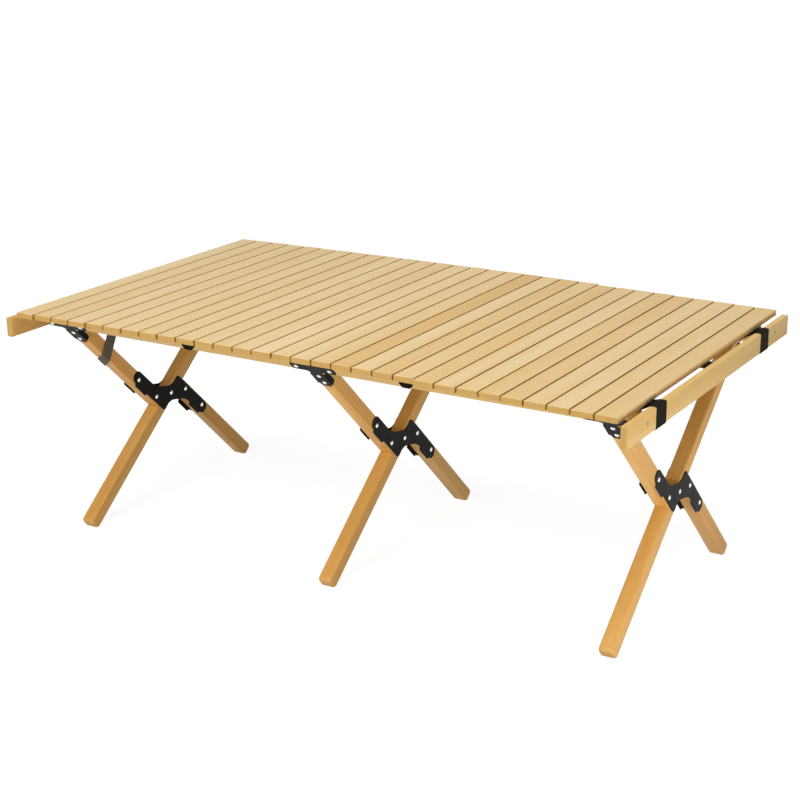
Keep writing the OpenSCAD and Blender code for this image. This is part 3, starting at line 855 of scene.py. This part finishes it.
# %% Make the bracket rivets
rail_rivet_x, leg_rivet_top, leg_rivet_gap = 34 * MM, 26 * MM, 23 * MM
bracket_rivets = ((-rail_rivet_x, 0), (rail_rivet_x, 0),
                  (0, leg_rivet_top), (0, leg_rivet_top + leg_rivet_gap))
for row, (body, rail_at, along, out) in bracket_rows.items():
    bm = bmesh.new()
    for x in frame_x.values():
        for across, down in bracket_rivets:
            spot = Matrix.Translation((across, down, sheet_thick))
            add_copy(bm, head, bracket_bench(x, rail_at, along, out) @ spot)
    bmesh.ops.recalc_face_normals(bm, faces=bm.faces)
    make_piece(row + "_rivets_steel", bm, body, "rivet_steel", [rivet_steel], row + "_rivets")
head.free()
print("heads on a bracket", len(bracket_rivets))

# %% [markdown]
# ## The anchor strap
#
# A grey strap comes down from the underside of the top, lies flat under the left upper leg and ends on its
# other side. It leans on its way down and slants under the leg, so it is made as a wide sheet bent round
# the leg and then cut with two leaning planes, as if the strap had been cut from a wider cloth, and with
# a third just under the slats.

# %% Make the anchor strap
strap_wide, strap_thick, strap_gap = 26 * MM, 1.2 * MM, 45 * MM
strap_lean, strap_slant = math.radians(17), 0.9
strap_clear, strap_bend, strap_long = 0.2 * MM, 2.4 * MM, 260 * MM
strap_u = split_rail_u - stem_length - strap_gap - strap_wide / 2 / math.cos(strap_lean)
strap_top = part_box("anchor_strap")[1].z
side_x = leg_thick / 2 + strap_clear + strap_thick / 2
depth = nest + leg_wide / 2 + strap_clear + strap_thick / 2
below_leg = Vector((frame_x["left"], 0, hub.z)) - across_split * depth + along_split * strap_u
path = ((-side_x, leg_wide), (-side_x, 0), (side_x, 0), (side_x, strap_long))
bm = strip_from_path(path, split_rail_u, strap_bend)
place(bm, bench(below_leg, X_AXIS, -along_split, across_split))

strap_at = below_leg + X_AXIS * side_x
lean_along = (along_split * math.cos(strap_lean) - across_split * math.sin(strap_lean)).normalized()
cut_along = lean_along - X_AXIS * strap_slant
for point, outward in ((strap_at + lean_along * strap_wide / 2, cut_along),
                       (strap_at - lean_along * strap_wide / 2, -cut_along),
                       (Z_AXIS * strap_top, Z_AXIS)):
    bmesh.ops.bisect_plane(bm, geom=bm.verts[:] + bm.edges[:] + bm.faces[:], plane_co=point,
                           plane_no=outward, clear_outer=True)
thicken(bm, strap_thick)
lay_weave(bm, lambda co: (co - strap_at).dot(lean_along),
          lambda co: co.dot(across_split) + abs(co.x - strap_at.x))
make_piece("anchor_strap_webbing", bm, "near_frame", "grey_strap", [grey_webbing], "anchor_strap")
print("anchor strap up to", round(strap_top / MM, 1))

# %% [markdown]
# ## Floor and world
#
# The photograph was taken on white. The floor and the world look white to the camera, and the floor still
# takes the table's shadow: its glow falls a little short of white near the table, and the lamps make up
# the rest, but for where the table keeps them off. Further away the lamps are weak and the glow is full.
# To every other ray the floor is a plain pale floor, so the light that it throws back up under the table
# is real.

# %% Tell the camera's rays from the light's
def white_to_camera(tree):
    """1 for rays from the camera or from a mirror-like surface, 0 for all others."""
    path = tree.nodes.new("ShaderNodeLightPath")
    seen = path.outputs["Is Camera Ray"]
    for other in ("Is Glossy Ray", "Is Transmission Ray"):
        either = tree.nodes.new("ShaderNodeMath")
        either.operation = "MAXIMUM"
        tree.links.new(seen, either.inputs[0])
        tree.links.new(path.outputs[other], either.inputs[1])
        seen = either.outputs["Value"]
    return seen

# %% Make the floor
floor_half, floor_grey, shadow_grey = 30, 0.7, 0.3
glow_from, glow_full, least_glow = 1.2, 6, 0.9
bm = bmesh.new()
bmesh.ops.create_grid(bm, x_segments=1, y_segments=1, size=floor_half)
mesh = bpy.data.meshes.new("floor")
bm.to_mesh(mesh)
bm.free()
floor = bpy.data.objects.new("floor", mesh)
bpy.context.scene.collection.objects.link(floor)

t = Tree("white floor")
t.tree.nodes.remove(t.shader)
plain, shadowed, glow = t.add("BsdfDiffuse"), t.add("BsdfDiffuse"), t.add("Emission")
t.feed(plain.inputs["Color"], (floor_grey, floor_grey, floor_grey, 1))
t.feed(shadowed.inputs["Color"], (shadow_grey, shadow_grey, shadow_grey, 1))
away = t.add("VectorMath", operation="LENGTH")
t.feed(away.inputs[0], t.add("TexCoord").outputs["Object"])
t.feed(glow.inputs["Strength"], t.remap(away.outputs["Value"], glow_from, glow_full, least_glow, 1))
both, seen_or_not = t.add("AddShader"), t.add("MixShader")
t.feed(both.inputs[0], glow.outputs[0])
t.feed(both.inputs[1], shadowed.outputs[0])
for socket, output in zip(seen_or_not.inputs, (white_to_camera(t.tree), plain.outputs[0], both.outputs[0])):
    t.feed(socket, output)
t.feed(t.tree.nodes["Material Output"].inputs["Surface"], seen_or_not.outputs[0])
mesh.materials.append(t.material)
print("floor", 2 * floor_half, "m wide")

# %% Make the world
ambient = 0.1
world = bpy.data.worlds.new("studio")
bpy.context.scene.world = world
world.use_nodes = True
tree = world.node_tree
background = tree.nodes["Background"]
background.inputs["Color"].default_value = (1, 1, 1, 1)
strength = tree.nodes.new("ShaderNodeMapRange")
strength.inputs["To Min"].default_value = ambient
strength.inputs["To Max"].default_value = 1
tree.links.new(white_to_camera(tree), strength.inputs["Value"])
tree.links.new(strength.outputs["Result"], background.inputs["Strength"])
print("world", world.name, "at", ambient)

# %% [markdown]
# ## Light and camera
#
# The light in the photograph is soft and comes mostly from above and from the front. Large round lamps
# give it, and three low ones reach what the top keeps dark: one from the right for the legs' right sides,
# one from the front, and a weak one up from the floor. The camera stands where the gaps between the
# slats and the corners of the top in the photograph put it.

# %% Lamps
def soft_lamp(name, place_at, aim, wide, high, watts):
    """A round or oval area lamp at a place, turned to the point that it aims at."""
    lamp = bpy.data.lights.new(name, "AREA")
    lamp.shape = "ELLIPSE"
    lamp.size, lamp.size_y, lamp.energy = wide, high, watts
    holder = bpy.data.objects.new(name, lamp)
    holder.location = place_at
    holder.rotation_euler = (Vector(aim) - Vector(place_at)).to_track_quat("-Z", "Y").to_euler()
    bpy.context.scene.collection.objects.link(holder)


soft_lamp("overhead", (0.4, -0.3, 3.0), aim=(0.1, 0, 0.4), wide=2.6, high=2.6, watts=51)
soft_lamp("from the right", (1.45, -0.5, 0.15), aim=(0.5, 0, 0.1), wide=0.6, high=0.3, watts=5.2)
soft_lamp("from the front", (-0.2, -3.0, 2.1), aim=(0, 0, 0.1), wide=2.2, high=2.2, watts=55)
soft_lamp("low in front", (-0.6, -3.0, 0.35), aim=(0, 0, 0.3), wide=2.4, high=0.5, watts=8)
soft_lamp("up from the floor", (-0.1, -0.95, 0.1), aim=(-0.1, -0.45, 0.55), wide=1.8, high=0.25, watts=1.2)
print("lamps", [lamp.name for lamp in bpy.data.lights])

# %% Camera
camera_data = bpy.data.cameras.new("camera")
camera_data.sensor_width, camera_data.lens = 36, 74.1
camera = bpy.data.objects.new("camera", camera_data)
bpy.context.scene.collection.objects.link(camera)
bpy.context.scene.camera = camera
azimuth, elevation, roll = math.radians(31.50), math.radians(18.27), math.radians(-0.59)
distance, looked_at = 2.505, Vector((0.277, -0.437, 0.450))
level_back = Vector((math.sin(azimuth), -math.cos(azimuth), 0))
back = level_back * math.cos(elevation) + Z_AXIS * math.sin(elevation)
right = Z_AXIS.cross(back).normalized()
up = back.cross(right)
rolled_right = right * math.cos(roll) + up * math.sin(roll)
rolled_up = up * math.cos(roll) - right * math.sin(roll)
camera.matrix_world = bench(looked_at + back * distance, rolled_right, rolled_up, back)
bpy.context.scene.view_settings.view_transform = "Standard"
print("camera at", camera.matrix_world.translation)
